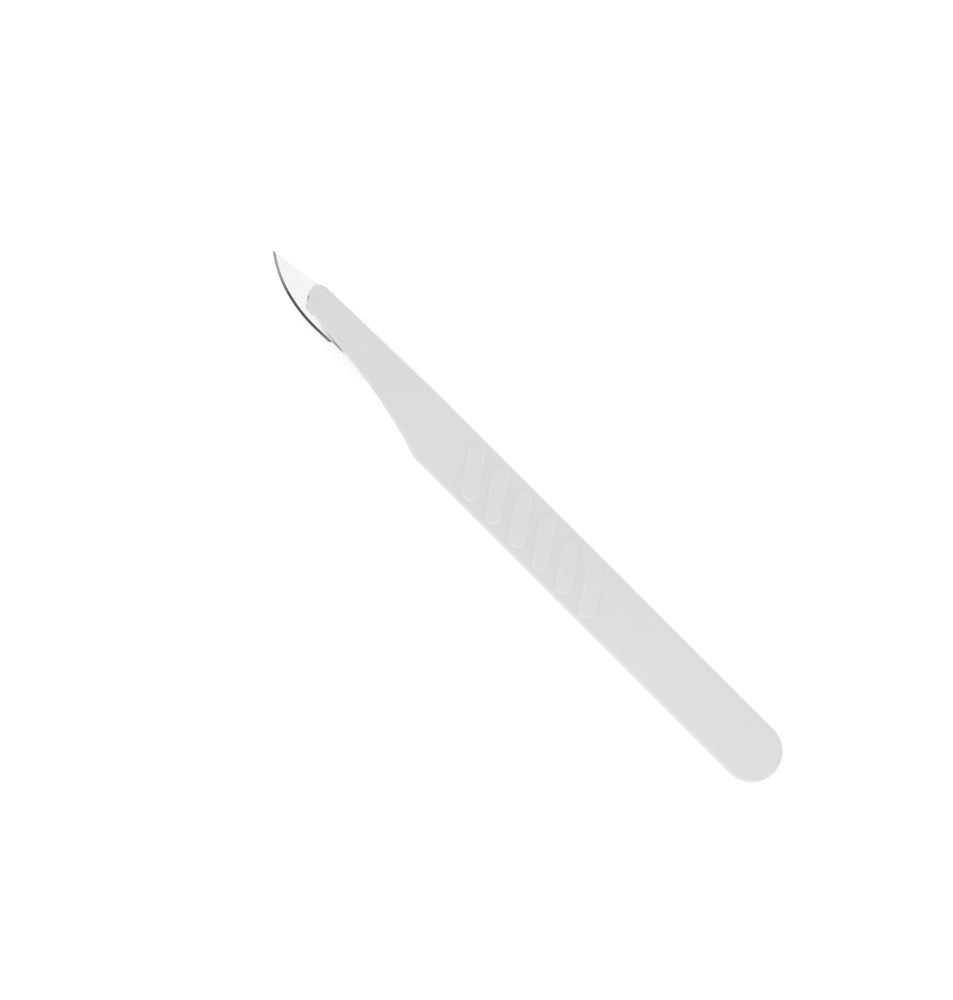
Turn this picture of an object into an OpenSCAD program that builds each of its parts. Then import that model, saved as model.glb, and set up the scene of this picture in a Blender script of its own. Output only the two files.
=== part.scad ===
// Disposable scalpel: a moulded plastic handle that holds a fixed steel blade.
// It lies flat, with +X towards the tip, +Y on the cutting side and +Z up.
// All lengths are in millimetres. Inside the modules x runs from the round rear end,
// and placed() moves the result so that the origin is under the middle of the whole.

/* [Handle] */
// Length of the handle, from its round rear end to the front of its nose
handle_len = 143.7; // [125:0.1:160]
// Width across the straight part
handle_w = 13.4; // [12:0.1:16]
// Thickness of the straight part, without the ribs
handle_t = 4; // [3.4:0.1:6]
// Rounding along the edges of the straight part
edge_r = 1; // [0.4:0.1:1.5]

/* [Neck and nose] */
// Distance from the shoulder, where the cutting side turns in, to the front of the nose
neck_len = 41.2; // [36:0.1:46]
// Half the length over which the shoulder is rounded
shoulder_blend = 1.4; // [0.5:0.1:3]
// Angle at which the cutting side leaves the shoulder
shoulder_angle = 18.3; // [12:0.1:24]
// Angle of the cutting side along the nose
nose_angle = 6; // [2:0.1:10]
// Length of the blunt end of the nose, in front of the neck's curve
nose_len = 5.7; // [4:0.1:8]
// Width of the nose where its blunt end begins
nose_w = 6.3; // [5.6:0.1:7.5]
// Thickness of the nose at its front
nose_t = 2.8; // [2.4:0.1:3.2]
// Rounding along the edges of the nose
nose_edge_r = 0.6; // [0.3:0.1:0.8]
// Radius of the front corner on the cutting side
edge_corner_r = 3; // [1:0.1:4]
// Radius of the front corner on the back
back_corner_r = 2.4; // [1.4:0.1:2.8]
// Angle by which the front of the nose leans back towards the cutting side
front_slant = 30; // [20:1:45]
// Length of the tapered stretch of the back, up to the front of the nose
back_taper_len = 36.7; // [20:0.1:40]
// Angle of that taper
back_taper = 1.25; // [0.5:0.05:2]

/* [Lip and slit] */
// How far the thin lip under the nose stands out on the cutting side
lip_out = 0.45; // [0.3:0.05:0.9]
// Thickness of the lip
lip_t = 0.45; // [0.3:0.05:0.6]
// Radius of the lip's two round ends
lip_r = 1.35; // [1:0.05:2]
// Distance of the lip's forward end from the front of the nose
lip_from_front = 2.8; // [2.2:0.1:4]
// Distance between the centres of the lip's round ends
lip_len = 1.1; // [0.8:0.1:3]
// Overall length of the narrow slit that lies along the slanted front of the nose
slit_len = 1.1; // [0.6:0.1:1.6]
// Width of the slit
slit_w = 0.2; // [0.15:0.01:0.3]
// Distance of the slit's middle line from the slanted front
slit_in = 0.25; // [0.2:0.01:0.4]
// Distance from the back corner, where the slanted front begins, to the slit
slit_from_corner = 0.5; // [0.2:0.1:1]

/* [Grip ribs] */
// Number of ribs on each face
rib_count = 6; // [3:1:7]
// Distance from one rib to the next
rib_pitch = 7.1; // [6:0.1:9]
// Overall length of a rib
rib_len = 12.4; // [9:0.1:13]
// Width of a rib at its foot
rib_w = 3.6; // [2.4:0.1:4]
// Height of a rib above the face
rib_h = 0.4; // [0.2:0.05:0.6]
// Width of the rounded rim around the flat top of a rib
rib_rim = 0.5; // [0.2:0.05:0.8]
// Angle between a rib and the length of the handle
rib_angle = 54.7; // [45:0.1:75]
// Distance from the shoulder back to the middle of the first rib
rib_from_shoulder = 11.35; // [9:0.05:20]
// How far the middle of each rib lies off the middle line, towards the back
rib_offset = 0.2; // [0:0.05:0.5]

/* [Blade] */
// Thickness of the blade
blade_t = 0.4; // [0.3:0.05:0.6]
// Length of the straight part of the spine, from the tang's rear end to its bend
spine_len = 27.4; // [26:0.1:29]
// Angle by which the spine slopes down to the tip
spine_angle = 8; // [4:0.5:12]
// Distance of the straight spine from the back of the straight part of the handle
spine_in = 1.55; // [1.3:0.05:1.8]
// Length of the tang that lies inside the handle
tang_in = 28.2; // [27:0.1:30]
// Height of the tang
tang_h = 6.65; // [6.3:0.05:7]
// Slope of the tang's rear end, as the distance by which its cutting side is shorter
tang_slant = 2.8; // [1:0.1:4]
// Distance from the tang's rear end to the heel of the cutting edge
heel_from_end = 17.4; // [16:0.1:19]
// Length of the sloped step at the heel
heel_step = 0.5; // [0.2:0.1:1]
// Height from the spine to the cutting edge at the heel
blade_h = 7.18; // [7.1:0.02:7.6]
// Length of the straight part of the cutting edge
straight_edge = 3.7; // [2:0.1:7]
// Angle at which the straight part rises from the heel
edge_slope = 1.9; // [0:0.1:3]
// Radius of the cutting edge along the belly
belly_r = 34; // [30:1:60]
// Direction in which the edge faces where the belly ends, from square to the spine
belly_turn = 14; // [4:0.5:20]
// Radius of the cutting edge from the belly to the tip
tip_r = 26; // [18:0.5:30]
// Width of the ground bevel on each face
bevel_w = 0.6; // [0.4:0.05:1.1]
// Thickness that is left at the cutting edge itself
edge_land = 0.02; // [0.02:0.01:0.05]

/* [Fitting] */
// Distance from the tang's rear end to the slot in the blade
slot_from_end = 4.7; // [4:0.1:6]
// Overall length of the slot
slot_len = 13.5; // [11:0.1:15]
// Length of the slot's wide rear part
slot_wide_len = 5; // [4:0.1:6]
// Width of the slot's wide part
slot_wide = 3.4; // [3.2:0.1:3.8]
// Width of the slot's narrow part
slot_narrow = 2.1; // [1.6:0.1:2.3]
// Clearance around the tang and around the boss in the slot
fit_gap = 0.1; // [0.05:0.01:0.15]
// Width of the boss's head, which goes through the wide part and holds the narrow one
head_w = 3; // [2.8:0.05:3]
// Height of the head beyond the blade
head_h = 0.6; // [0.3:0.05:0.7]
// Width of the rounded rim of the head
head_rim = 0.35; // [0.2:0.05:0.5]
// Thinnest wall that is left beside the tang
min_wall = 0.5; // [0.3:0.05:0.8]

/* [Hidden] */
$fn = 48;
plastic = [0.86, 0.865, 0.857];
steel = [0.8, 0.81, 0.82];
overlap = 0.2;

// Plan of the handle: x values at which the outline changes
half_w = handle_w / 2;
shoulder_x = handle_len - neck_len;
neck_start = shoulder_x + shoulder_blend;
neck_end = handle_len - nose_len;
taper_start = handle_len - back_taper_len;
neck_start_y = half_w - shoulder_blend * tan(shoulder_angle);
neck_end_y = back_line(neck_end) + nose_w;

// Centres of the two round corners of the nose
back_corner = [handle_len - back_corner_r,
               back_line(handle_len - back_corner_r) + back_corner_r / cos(back_taper)];
front_normal = [cos(front_slant), sin(front_slant)];
nose_normal = [sin(nose_angle), cos(nose_angle)];
edge_corner = crossing(front_normal, front_normal * back_corner + back_corner_r - edge_corner_r,
                       nose_normal, nose_normal * [neck_end, neck_end_y] - edge_corner_r);

// Centre of the lip's forward end, whose edge runs along the handle
lip_front = [handle_len - lip_from_front,
             neck_end_y - (nose_len - lip_from_front) * tan(nose_angle) + lip_out - lip_r];

// Heights above the surface that the far ribs lie on
mid_z = rib_h + handle_t / 2;
blade_lo = mid_z - blade_t / 2;
blade_hi = mid_z + blade_t / 2;

// Plan of the blade
tang_x = handle_len - tang_in;
spine_y = -half_w + spine_in;
tang_y = spine_y + tang_h;
spine_bend = [tang_x + spine_len, spine_y];
heel_x = tang_x + heel_from_end;
heel = [heel_x, spine_y + blade_h];
belly_centre = heel + straight_edge * [cos(edge_slope), sin(edge_slope)]
               - belly_r * [-sin(edge_slope), cos(edge_slope)];
tip_centre = belly_centre + (belly_r - tip_r) * [sin(belly_turn), cos(belly_turn)];
tip = spine_bend + reach(tip_r) * [cos(spine_angle), sin(spine_angle)];
tip_turn = atan2(tip.x - tip_centre.x, tip.y - tip_centre.y);

// Middle of the slot and of the boss in it
slot_x = tang_x + slot_from_end;
slot_y = spine_y + tang_h / 2;

// Steps in the rounded stretches
rear_steps = 12;
blend_steps = 4;
neck_steps = 18;
nose_steps = 5;
corner_steps = 15;
round_steps = 5;
belly_steps = 6;
tip_steps = 12;
pad_steps = 8;
rim_steps = 3;

function mix(a, b, u) = a + (b - a) * u;
function smooth(u) = u * u * (3 - 2 * u);
function clamp(u) = min(1, max(0, u));

// The point where the lines n1 * p = k1 and n2 * p = k2 cross
function crossing(n1, k1, n2, k2) =
    [k1 * n2.y - n1.y * k2, n1.x * k2 - k1 * n2.x] / (n1.x * n2.y - n1.y * n2.x);

// Distance along the sloped spine, from its bend, to the circle of radius r about the tip's centre
function reach(r) =
    let (d = [cos(spine_angle), sin(spine_angle)],
         k = spine_bend - tip_centre,
         along = d * k)
    sqrt(along * along - k * k + r * r) - along;

// The back of the handle, without its round ends
function back_line(x) = -half_w + max(0, x - taper_start) * tan(back_taper);

// The cutting side along the neck: a cubic that leaves the shoulder and meets the nose at their angles
function neck_y(x) =
    let (span = neck_end - neck_start,
         u = (x - neck_start) / span,
         leave = -tan(shoulder_angle) * span,
         meet = -tan(nose_angle) * span)
    mix(neck_start_y, neck_end_y, smooth(u))
    + leave * u * (1 - u) * (1 - u) - meet * u * u * (1 - u);

// The blunt end of the nose on its cutting side: edge, corner, slanted front, back corner
function nose_y(x) =
    x < edge_corner.x + edge_corner_r * sin(nose_angle)
        ? neck_end_y - (x - neck_end) * tan(nose_angle)
    : x < edge_corner.x + edge_corner_r * cos(front_slant)
        ? edge_corner.y + sqrt(pow(edge_corner_r, 2) - pow(x - edge_corner.x, 2))
    : x < back_corner.x + back_corner_r * cos(front_slant)
        ? back_corner.y + (back_corner_r - (x - back_corner.x) * cos(front_slant)) / sin(front_slant)
    : back_corner.y + round_y(back_corner_r, x - back_corner.x);

// Height of a circle of radius r at the distance d from its centre
function round_y(r, d) = sqrt(max(0, r * r - d * d));

// Cutting side and back of the whole handle
function edge_y(x) =
    x < half_w ? round_y(half_w, half_w - x)
    : x < shoulder_x - shoulder_blend ? half_w
    : x < neck_start
        ? half_w - tan(shoulder_angle) * pow(x - shoulder_x + shoulder_blend, 2) / (4 * shoulder_blend)
    : x < neck_end ? neck_y(x)
    : nose_y(x);
function back_y(x) =
    x < half_w ? -round_y(half_w, half_w - x)
    : x < back_corner.x ? back_line(x)
    : back_corner.y - round_y(back_corner_r, x - back_corner.x);

// How far along the taper from the shoulder to the nose a section lies, from 0 to 1
function taper(x) = smooth(clamp((x - shoulder_x) / neck_len));
function half_t(x) = mix(handle_t, nose_t, taper(x)) / 2;
function round_r(x) = mix(edge_r, nose_edge_r, taper(x));

// The x values of the sections, close together where the outline is round
sections = [
    for (i = [0:rear_steps]) half_w * (1 - cos(90 * i / rear_steps)),
    for (i = [0:blend_steps]) mix(shoulder_x - shoulder_blend, neck_start, i / blend_steps),
    for (i = [1:neck_steps]) mix(neck_start, neck_end, i / neck_steps),
    for (i = [1:nose_steps]) mix(neck_end, back_corner.x, i / nose_steps),
    for (i = [1:corner_steps]) back_corner.x + back_corner_r * sin(90 * i / corner_steps)
];
last = len(sections) - 1;

// The outline as one loop: along the cutting side to the front and back along the back
outline = [
    for (i = [0:last]) [sections[i], edge_y(sections[i])],
    for (i = [last - 1:-1:1]) [sections[i], back_y(sections[i])]
];
loop = len(outline);

// Unit vector from a point of the outline into the handle
function inward(i) =
    let (step = outline[(i + 1) % loop] - outline[(i + loop - 1) % loop])
    [step.y, -step.x] / norm(step);

// A point of the handle's skin: side is -1 below and 1 above, a runs from 0 at the edge to 90 on the face
function skin(i, side, a) =
    let (p = outline[i], r = round_r(p.x), q = p + inward(i) * r * (1 - cos(a)))
    [q.x, q.y, mid_z + side * (half_t(p.x) - r + r * sin(a))];

// A smooth-edged slab with the outline of the handle
module handle_blank() {
    rings = 2 * (round_steps + 1);
    points = [
        for (j = [0:round_steps]) for (i = [0:loop - 1]) skin(i, -1, 90 - 90 * j / round_steps),
        for (j = [0:round_steps]) for (i = [0:loop - 1]) skin(i, 1, 90 * j / round_steps)
    ];
    top = (rings - 1) * loop;
    sides = [
        for (j = [0:rings - 2]) for (i = [0:loop - 1])
            let (n = (i + 1) % loop)
            [j * loop + i, j * loop + n, (j + 1) * loop + n, (j + 1) * loop + i]
    ];
    upper = [
        [top, top + 1, top + loop - 1],
        for (i = [1:last - 2]) [top + i, top + i + 1, top + loop - i - 1, top + loop - i],
        [top + last - 1, top + last, top + last + 1]
    ];
    lower = [for (f = upper) [for (k = [len(f) - 1:-1:0]) f[k] - top]];
    polyhedron(points, concat(sides, upper, lower), convexity = 6);
}

// A raised pad with round ends and a rounded rim, sunk a little below the face that it stands on
module pad(length, width, height, rim) {
    r = width / 2;
    reach = length / 2 - r;
    ends = 2 * (pad_steps + 1);
    levels = [[-overlap, 0], for (k = [0:rim_steps]) let (a = 90 * k / rim_steps)
              [height * sin(a), rim * (1 - cos(a))]];
    points = [
        for (level = levels) for (i = [0:ends - 1])
            let (end = i > pad_steps ? -1 : 1,
                 a = 180 * (i > pad_steps ? i - 1 : i) / pad_steps - 90)
            [end * reach + (r - level[1]) * cos(a), (r - level[1]) * sin(a), level[0]]
    ];
    top = (len(levels) - 1) * ends;
    sides = [
        for (j = [0:len(levels) - 2]) for (i = [0:ends - 1])
            let (n = (i + 1) % ends)
            [j * ends + i, (j + 1) * ends + i, (j + 1) * ends + n, j * ends + n]
    ];
    polyhedron(points, concat(sides, [
        [for (i = [0:ends - 1]) i],
        [for (i = [ends - 1:-1:0]) top + i]
    ]), convexity = 2);
}

// The row of slanted ribs on the upper face
module ribs() {
    for (i = [0:rib_count - 1])
        translate([shoulder_x - rib_from_shoulder - i * rib_pitch, -rib_offset, handle_t / 2])
            rotate([0, 0, -rib_angle])
                pad(rib_len, rib_w, rib_h, rib_rim);
}

// Plan of the slot in the blade, or of the boss in it when it is drawn smaller by a gap
module slot_plan(gap = 0) {
    wide_r = slot_wide / 2 - gap;
    narrow_r = slot_narrow / 2 - gap;
    first = slot_x + slot_wide / 2;
    second = slot_x + slot_wide_len - slot_wide / 2;
    front = slot_x + slot_len - slot_narrow / 2;
    for (x = [first, second])
        translate([x, slot_y]) circle(wide_r);
    translate([first, slot_y - wide_r]) square([second - first, 2 * wide_r]);
    translate([first, slot_y - narrow_r]) square([front - first, 2 * narrow_r]);
    translate([front, slot_y]) circle(narrow_r);
}

// Last section at which the wall beside the tang is still thick enough on the cutting side
wall_end = max([for (x = sections) if (edge_y(x) > tang_y + fit_gap + min_wall) x]);

// The recess in the far face that takes the tang: open at the front and along the cutting edge
module recess() {
    rear = tang_x - fit_gap;
    translate([0, 0, -1])
        linear_extrude(blade_hi + 1)
            polygon([
                [rear, spine_y - fit_gap],
                [back_corner.x, spine_y - fit_gap],
                [back_corner.x, -handle_w],
                [handle_len + 1, -handle_w],
                [handle_len + 1, handle_w],
                [wall_end, handle_w],
                [wall_end, tang_y + fit_gap],
                [rear + tang_slant, tang_y + fit_gap]
            ]);
}

// The boss that fills the blade's slot, with the head that is pressed over the blade
module boss() {
    translate([0, 0, blade_lo - overlap])
        linear_extrude(blade_t + 2 * overlap)
            slot_plan(fit_gap);
    translate([slot_x + slot_len / 2, slot_y, blade_lo])
        mirror([0, 0, 1])
            head();
}

// The head lies flat on the blade, so it has no sunk foot
module head() {
    difference() {
        pad(slot_len - 2 * fit_gap - (slot_wide - head_w), head_w, head_h, head_rim);
        translate([-slot_len, -head_w, -2 * overlap])
            cube([2 * slot_len, 2 * head_w, 2 * overlap]);
    }
}

// The thin lip that lies on the blade, outside the front corner of the nose
module lip() {
    translate([0, 0, blade_hi])
        linear_extrude(lip_t)
            hull() {
                translate(lip_front) circle(lip_r);
                translate(lip_front - [lip_len, 0]) circle(lip_r);
            }
}

// The narrow slit along the slanted front of the nose, from its upper face down to the blade
module slit() {
    front_start = back_corner + (back_corner_r - slit_in) * front_normal;
    translate([front_start.x, front_start.y, blade_hi])
        rotate([0, 0, front_slant])
            linear_extrude(handle_t)
                hull()
                    for (y = [slit_from_corner + slit_w / 2, slit_from_corner + slit_len - slit_w / 2])
                        translate([0, y]) circle(slit_w / 2, $fn = 16);
}

// Cutting edge as points from the heel to the tip, each with the direction in which it faces
belly_turns = [for (i = [0:belly_steps]) mix(-edge_slope, belly_turn, i / belly_steps)];
tip_turns = [for (i = [1:tip_steps]) mix(belly_turn, tip_turn, i / tip_steps)];
edge_turns = concat([-edge_slope], belly_turns, tip_turns);
edge_points = concat(
    [heel],
    [for (turn = belly_turns) on_arc(belly_centre, belly_r, turn)],
    [for (turn = tip_turns) on_arc(tip_centre, tip_r, turn)]
);
function on_arc(centre, r, turn) = centre + r * [sin(turn), cos(turn)];

// The flat steel blank, before its slot and bevels are made
module blade_blank() {
    translate([0, 0, blade_lo])
        linear_extrude(blade_t)
            polygon([
                [tang_x, spine_y],
                spine_bend,
                for (i = [len(edge_points) - 1:-1:0]) edge_points[i],
                [heel_x - heel_step, tang_y],
                [tang_x + tang_slant, tang_y]
            ]);
}

// What grinding takes off the upper face along the cutting edge, past both ends of the edge
module bevel_cut() {
    rise = (blade_t - edge_land) / 2 / bevel_w;
    beyond = 1.5;
    start = heel - heel_step * [cos(edge_slope), sin(edge_slope)];
    end = edge_points[len(edge_points) - 1] + beyond * [cos(tip_turn), -sin(tip_turn)];
    path = concat([start], edge_points, [end]);
    turns = concat([-edge_slope], edge_turns, [tip_turn]);
    section = [[-beyond, -beyond * rise], [bevel_w + beyond / 2, (bevel_w + beyond / 2) * rise],
               [bevel_w + beyond / 2, beyond], [-beyond, beyond]];
    points = [
        for (i = [0:len(path) - 1]) for (s = section)
            let (p = path[i] - s[0] * [sin(turns[i]), cos(turns[i])])
            [p.x, p.y, mid_z + edge_land / 2 + s[1]]
    ];
    count = len(path);
    sides = [
        for (i = [0:count - 2]) for (k = [0:3])
            let (n = (k + 1) % 4)
            [4 * i + k, 4 * i + n, 4 * i + 4 + n, 4 * i + 4 + k]
    ];
    polyhedron(points, concat(sides, [[3, 2, 1, 0], [for (k = [0:3]) 4 * (count - 1) + k]]), convexity = 4);
}

module placed() {
    translate([-tip.x / 2, 0, 0]) children();
}

module handle() {
    color(plastic) placed() {
        difference() {
            handle_blank();
            recess();
            slit();
        }
        boss();
        lip();
        translate([0, 0, mid_z]) {
            ribs();
            mirror([0, 0, 1]) ribs();
        }
    }
}

module blade() {
    color(steel) placed() difference() {
        blade_blank();
        translate([0, 0, blade_lo - 1]) linear_extrude(blade_t + 2) slot_plan();
        bevel_cut();
        translate([0, 0, 2 * mid_z]) mirror([0, 0, 1]) bevel_cut();
    }
}

handle();
blade();
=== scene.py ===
"""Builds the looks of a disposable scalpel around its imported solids.

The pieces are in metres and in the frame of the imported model: +X towards the tip, +Y on the
cutting side, +Z up. Inside the plans x runs from the round rear end of the handle.
"""

import math

import bmesh
import bpy
from mathutils import Matrix, Vector


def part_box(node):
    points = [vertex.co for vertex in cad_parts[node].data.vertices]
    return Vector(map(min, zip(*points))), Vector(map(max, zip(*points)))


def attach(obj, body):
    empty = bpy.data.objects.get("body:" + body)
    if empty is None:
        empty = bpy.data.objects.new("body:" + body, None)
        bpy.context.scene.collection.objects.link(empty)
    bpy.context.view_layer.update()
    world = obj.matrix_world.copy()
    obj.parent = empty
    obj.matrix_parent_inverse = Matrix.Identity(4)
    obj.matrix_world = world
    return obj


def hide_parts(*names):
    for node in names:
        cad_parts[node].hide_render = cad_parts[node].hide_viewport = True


bl_info = {
    "name": "Disposable scalpel",
    "version": (1, 0, 0),
    "blender": (4, 5, 0),
    "location": "View3D > Sidebar > Scalpel",
    "description": "Makes the moulded handle, its grip ribs, the steel blade and the stage",
    "category": "Object",
}

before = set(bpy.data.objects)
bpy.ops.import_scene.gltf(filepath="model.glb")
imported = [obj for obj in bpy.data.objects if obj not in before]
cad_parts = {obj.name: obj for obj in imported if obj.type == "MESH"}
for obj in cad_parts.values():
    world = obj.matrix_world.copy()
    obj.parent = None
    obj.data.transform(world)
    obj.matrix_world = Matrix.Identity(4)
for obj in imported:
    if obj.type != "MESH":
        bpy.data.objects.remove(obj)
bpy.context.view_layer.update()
REAR_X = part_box("handle")[0].x
BODY = "root"

MM = 0.001
OVERLAP = 0.2 * MM

END_STEPS = 28
STRAIGHT_STEPS = 12
BLEND_STEPS = 10
NECK_STEPS = 40
ROUNDING_STEPS = 10
RIM_STEPS = 6
CAPSULE_STEPS = 20
BELLY_STEPS = 24
TIP_STEPS = 48
SLOT_END_STEPS = 24
SLOT_SIDE_STEPS = 10
RIB_VERTICES = 72
RIB_LEVELS = 14


# Properties

def length(name, mm, text):
    """A size in metres, given in millimetres."""
    return bpy.props.FloatProperty(
        name=name, description=text, default=mm * MM, min=0, precision=5, unit="LENGTH")


def angle(name, degrees, text):
    """An angle, given in degrees."""
    return bpy.props.FloatProperty(
        name=name, description=text, default=math.radians(degrees), subtype="ANGLE", unit="ROTATION")


def colour(name, rgb, text):
    """A linear colour."""
    return bpy.props.FloatVectorProperty(
        name=name, description=text, default=rgb, size=3, min=0, max=1, subtype="COLOR")


def share(name, value, text):
    """A number from 0 to 1."""
    return bpy.props.FloatProperty(
        name=name, description=text, default=value, min=0, max=1, subtype="FACTOR")


def strength(name, value, text):
    """The strength of a light, where 1 is white."""
    return bpy.props.FloatProperty(name=name, description=text, default=value, min=0)


class HandleSizes(bpy.types.PropertyGroup):
    """Sizes of the moulded handle."""

    overall: length("Length", 143.7, "From the round rear end to the front of the nose")
    width: length("Width", 13.4, "Across the straight part")
    thickness: length("Thickness", 4, "Of the straight part, without the ribs")
    rounding: length("Edge rounding", 1, "Along the edges of the straight part")
    neck: length("Neck length", 41.2, "From the shoulder to the front of the nose")
    blend: length("Shoulder blend", 1.4, "Half the length over which the shoulder is rounded")
    shoulder_angle: angle("Shoulder angle", 18.3, "At which the cutting side leaves the shoulder")
    nose_angle: angle("Nose angle", 6, "Of the cutting side along the nose")
    nose: length("Nose length", 5.7, "Of the blunt end in front of the neck's curve")
    nose_width: length("Nose width", 6.3, "Where the blunt end begins")
    nose_thickness: length("Nose thickness", 2.8, "At the front of the nose")
    nose_rounding: length("Nose edge rounding", 0.6, "Along the edges of the nose")
    edge_corner: length("Cutting side corner", 3, "Radius of the front corner on the cutting side")
    back_corner: length("Back corner", 2.4, "Radius of the front corner on the back")
    slant: angle("Front slant", 30, "By which the front leans back towards the cutting side")
    taper_length: length("Back taper length", 36.7, "Of the tapered stretch of the back")
    taper: angle("Back taper", 1.25, "Angle of that stretch")
    lip_out: length("Lip reach", 0.45, "How far the thin lip stands out of the nose")
    lip_thickness: length("Lip thickness", 0.45, "Of the thin lip on the blade")
    lip_radius: length("Lip radius", 1.35, "Of the lip's two round ends")
    lip_from_front: length("Lip setback", 2.8, "From the front of the nose to the lip's forward end")
    lip_length: length("Lip length", 1.1, "Between the centres of the lip's round ends")
    lip_rim: length("Lip rim", 0.15, "Width of the lip's rounded rim")
    slit: length("Slit length", 1.1, "Of the narrow slit along the slanted front")
    slit_width: length("Slit width", 0.2, "Across the slit")
    slit_in: length("Slit setback", 0.25, "From the slanted front to the slit's middle line")
    slit_start: length("Slit start", 0.5, "From the back corner, along the slanted front")
    head_width: length("Boss head width", 3, "Of the head that holds the blade on the far side")
    head_height: length("Boss head height", 0.6, "Beyond the blade")
    head_rim: length("Boss head rim", 0.35, "Width of the head's rounded rim")
    gap: length("Fitting gap", 0.1, "Around the tang in its recess and around the boss in its slot")
    wall: length("Thinnest wall", 0.5, "That is left beside the tang")


class RibSizes(bpy.types.PropertyGroup):
    """Sizes of the grip ribs."""

    count: bpy.props.IntProperty(name="Count", description="Ribs on each face", default=6, min=1)
    pitch: length("Pitch", 7.1, "From one rib to the next")
    overall: length("Length", 12.4, "Of a rib")
    width: length("Width", 3.6, "Of a rib at its foot")
    height: length("Height", 0.4, "Above the face")
    rim: length("Rim", 0.5, "Width of the rounded rim around the flat top")
    foot: length("Foot", 0.15, "How far the soft foot runs out onto the face")
    tilt: angle("Angle", 54.7, "Between a rib and the length of the handle")
    setback: length("Setback", 11.35, "From the shoulder back to the middle of the first rib")
    offset: length("Offset", 0.2, "Of the middle of each rib towards the back")


class BladeSizes(bpy.types.PropertyGroup):
    """Sizes of the steel blade."""

    thickness: length("Thickness", 0.4, "Of the blade")
    spine: length("Spine length", 27.4, "From the tang's rear end to the bend of the spine")
    spine_angle: angle("Spine angle", 8, "By which the spine slopes to the tip")
    spine_in: length("Spine setback", 1.55, "Of the spine from the back of the handle")
    tang_in: length("Tang length", 28.2, "That lies inside the handle")
    tang_height: length("Tang height", 6.65, "Across the tang")
    tang_slant: length("Tang slant", 2.8, "By which the tang's cutting side is shorter")
    heel: length("Heel", 17.4, "From the tang's rear end to the heel of the edge")
    heel_step: length("Heel step", 0.5, "Length of the sloped step at the heel")
    height: length("Height", 7.18, "From the spine to the cutting edge at the heel")
    straight: length("Straight edge", 3.7, "Length of the straight part of the edge")
    slope: angle("Edge slope", 1.9, "At which the straight part rises from the heel")
    belly: length("Belly radius", 34, "Of the cutting edge along the belly")
    belly_turn: angle("Belly turn", 14, "Direction in which the edge faces where the belly ends")
    tip: length("Tip radius", 26, "Of the cutting edge from the belly to the tip")
    bevel: length("Bevel width", 0.6, "Of the ground bevel on each face")
    land: length("Edge land", 0.02, "Thickness that is left at the cutting edge")
    ease: length("Tang ease", 0.35, "Width of the eased edge along the tang's cutting side")
    slot_in: length("Slot setback", 4.7, "From the tang's rear end to the slot")
    slot: length("Slot length", 13.5, "Overall length of the slot")
    slot_wide_part: length("Wide part", 5, "Length of the slot's wide rear part")
    slot_wide: length("Wide width", 3.4, "Of the slot's wide part")
    slot_narrow: length("Narrow width", 2.1, "Of the slot's narrow part")


class Finishes(bpy.types.PropertyGroup):
    """Colours and surface qualities."""

    plastic: colour("Plastic", (0.859, 0.857, 0.849), "Of the moulded handle")
    plastic_roughness: share("Plastic roughness", 0.42, "Mean roughness of the handle")
    steel: colour("Steel", (0.885, 0.886, 0.89), "Of the blade's faces")
    steel_roughness: share("Steel roughness", 0.34, "Mean roughness of the faces")
    # Painted dark reflection on the ground bevel: darkest along the belly and lighter towards the tip.
    ground_and_reflection: colour("Ground bevel", (0.088, 0.088, 0.089), "Of the bevel along the belly")
    ground_and_reflection_tip: colour("Ground bevel at the tip", (0.37, 0.37, 0.372), "Of the bevel towards the tip")
    # Painted shade on the tang's eased edge beside the heel, where the tang leaves the handle.
    eased_edge_shade: colour("Eased edge", (0.34, 0.315, 0.3), "Of the tang's eased edge")
    # Painted shade in the corner beside the nose: the share of the steel's brightness kept there.
    painted_corner_shade: share("Painted corner shade", 0.56, "Brightness that the steel keeps in the corner beside the nose")
    floor: colour("Floor", (0.9, 0.9, 0.9), "Of the floor")


class StageSizes(bpy.types.PropertyGroup):
    """Camera and light."""

    view_height: length("View height", 214.8, "What the picture's height takes in at the blade")
    lens: bpy.props.FloatProperty(name="Lens", description="Focal length", default=85, unit="CAMERA")
    aim_x: length("Aim from the rear", 86.5, "Where the camera looks, from the handle's rear end")
    aim_y: length("Aim across", 3.57, "Where the camera looks, towards the cutting side")
    turn: angle("Turn", 225, "Of the camera about the vertical")
    lamp_size: length("Lamp size", 200, "Side of each square lamp")
    horizon: strength("Horizon", 1.45, "Of the world's light at the horizon")
    zenith: strength("Zenith", 0.36, "Of the world's light from straight above")
    floor_glow: strength("Floor glow", 0.38, "Added to the floor where it is seen directly")


# Meshes

def shell(name, points, faces):
    """A closed mesh object whose faces are turned outwards."""
    mesh = bpy.data.meshes.new(name)
    mesh.from_pydata(points, [], faces)
    work = bmesh.new()
    work.from_mesh(mesh)
    bmesh.ops.remove_doubles(work, verts=work.verts, dist=1e-8)
    bmesh.ops.recalc_face_normals(work, faces=work.faces)
    work.to_mesh(mesh)
    work.free()
    piece = bpy.data.objects.new(name, mesh)
    bpy.context.scene.collection.objects.link(piece)
    return piece


def stack(name, rings, lower, upper):
    """A shell through rings of equal count, closed by the given faces of the first and last ring."""
    count = len(rings[0])
    points = [point for ring in rings for point in ring]
    faces = [
        (k * count + i, k * count + (i + 1) % count, (k + 1) * count + (i + 1) % count, (k + 1) * count + i)
        for k in range(len(rings) - 1) for i in range(count)
    ]
    top = (len(rings) - 1) * count
    faces += lower + [tuple(top + i for i in face) for face in upper]
    return shell(name, points, faces)


def prism(name, outline, low, high):
    """An upright shell over an outline of the plan."""
    whole = [tuple(range(len(outline)))]
    rings = [[(x + REAR_X, y, z) for x, y in outline] for z in (low, high)]
    return stack(name, rings, whole, whole)


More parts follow.
